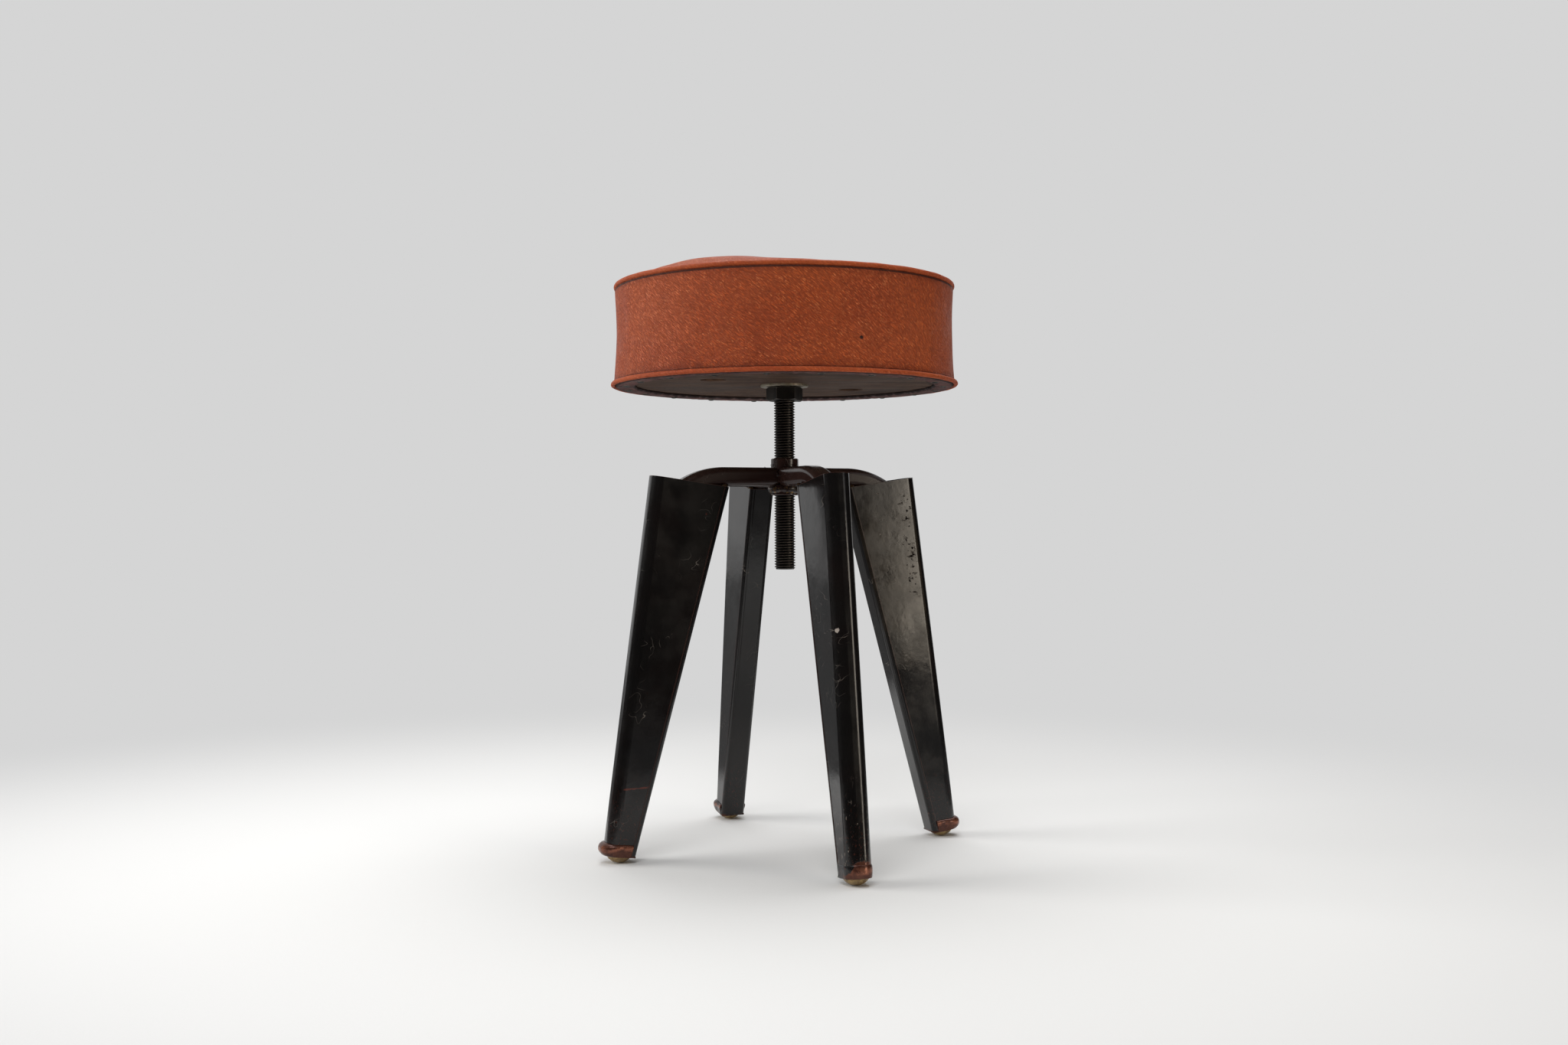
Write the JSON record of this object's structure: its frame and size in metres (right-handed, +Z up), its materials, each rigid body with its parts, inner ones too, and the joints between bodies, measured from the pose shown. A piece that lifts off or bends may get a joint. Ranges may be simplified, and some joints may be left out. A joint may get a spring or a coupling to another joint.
{
  "type": "machinist stool",
  "caption": "Low workshop stool: round upholstered seat on a long screw that turns in the hub of a four-legged folded sheet-metal frame, for height adjustment",
  "frame": {"origin": "On the floor under the middle of the stool, on the screw's axis", "axes": "+Z up along the screw; the cross arms and legs lie along +X, +Y, -X and -Y"},
  "size_m": [0.3632, 0.3596, 0.546],
  "materials": {
    "enamel_black": "worn glossy black enamel over a brown primer",
    "screw_steel": "dark oiled steel",
    "washer_steel": "bare zinc-plated steel",
    "plywood": "bare weathered plywood",
    "foam": "soft foam",
    "leatherette": "orange-brown pebbled leatherette",
    "piping": "orange-brown leatherette over cord",
    "hem": "dark brown back of the leatherette, pleated",
    "tack_steel": "dark steel",
    "braze": "dull brazing metal, partly painted over",
    "shoe_copper": "worn brown lacquer with bare copper-coloured metal",
    "glide_brass": "dull worn brass"
  },
  "bodies": {
    "frame": {"hub_sleeve": "enamel_black", "hub_weld": "enamel_black", "hub_braze": "braze", "cross_arm_front": "enamel_black", "leg_shell_front": "enamel_black", "leg_channel_front": "enamel_black", "foot_shoe_front": "shoe_copper", "foot_glide_front": "glide_brass", "leg_braze_front": "braze", "cross_arm_right": "enamel_black", "leg_shell_right": "enamel_black", "leg_channel_right": "enamel_black", "foot_shoe_right": "shoe_copper", "foot_glide_right": "glide_brass", "leg_braze_right": "braze", "cross_arm_back": "enamel_black", "leg_shell_back": "enamel_black", "leg_channel_back": "enamel_black", "foot_shoe_back": "shoe_copper", "foot_glide_back": "glide_brass", "leg_braze_back": "braze", "cross_arm_left": "enamel_black", "leg_shell_left": "enamel_black", "leg_channel_left": "enamel_black", "foot_shoe_left": "shoe_copper", "foot_glide_left": "glide_brass", "leg_braze_left": "braze"},
    "washer": {"seat_washer": "washer_steel"},
    "seat": {"screw_rod": "screw_steel", "seat_nut": "screw_steel", "seat_board": "plywood", "clamp_plate": "screw_steel", "upper_nut": "screw_steel", "seat_padding": "foam", "cover_top": "leatherette", "cover_band": "leatherette", "piping_top": "piping", "piping_bottom": "piping", "cover_hem": "hem", "hem_tacks": "tack_steel"}
  },
  "joints": [
    {"name": "seat_lift", "type": "slide", "parent": "frame", "child": "washer", "axis": [0, 0, 1], "range_m": [-0.05, 0.065]},
    {"name": "seat_turn", "type": "hinge", "parent": "washer", "child": "seat", "pos_m": [0, 0, 0.437], "axis": [0, 0, 1], "range_deg": [-7200, 9360]}
  ],
  "couplings": [
    {"joint": "seat_lift", "follows": "seat_turn", "m_per_rad": 0.00039789}
  ]
}
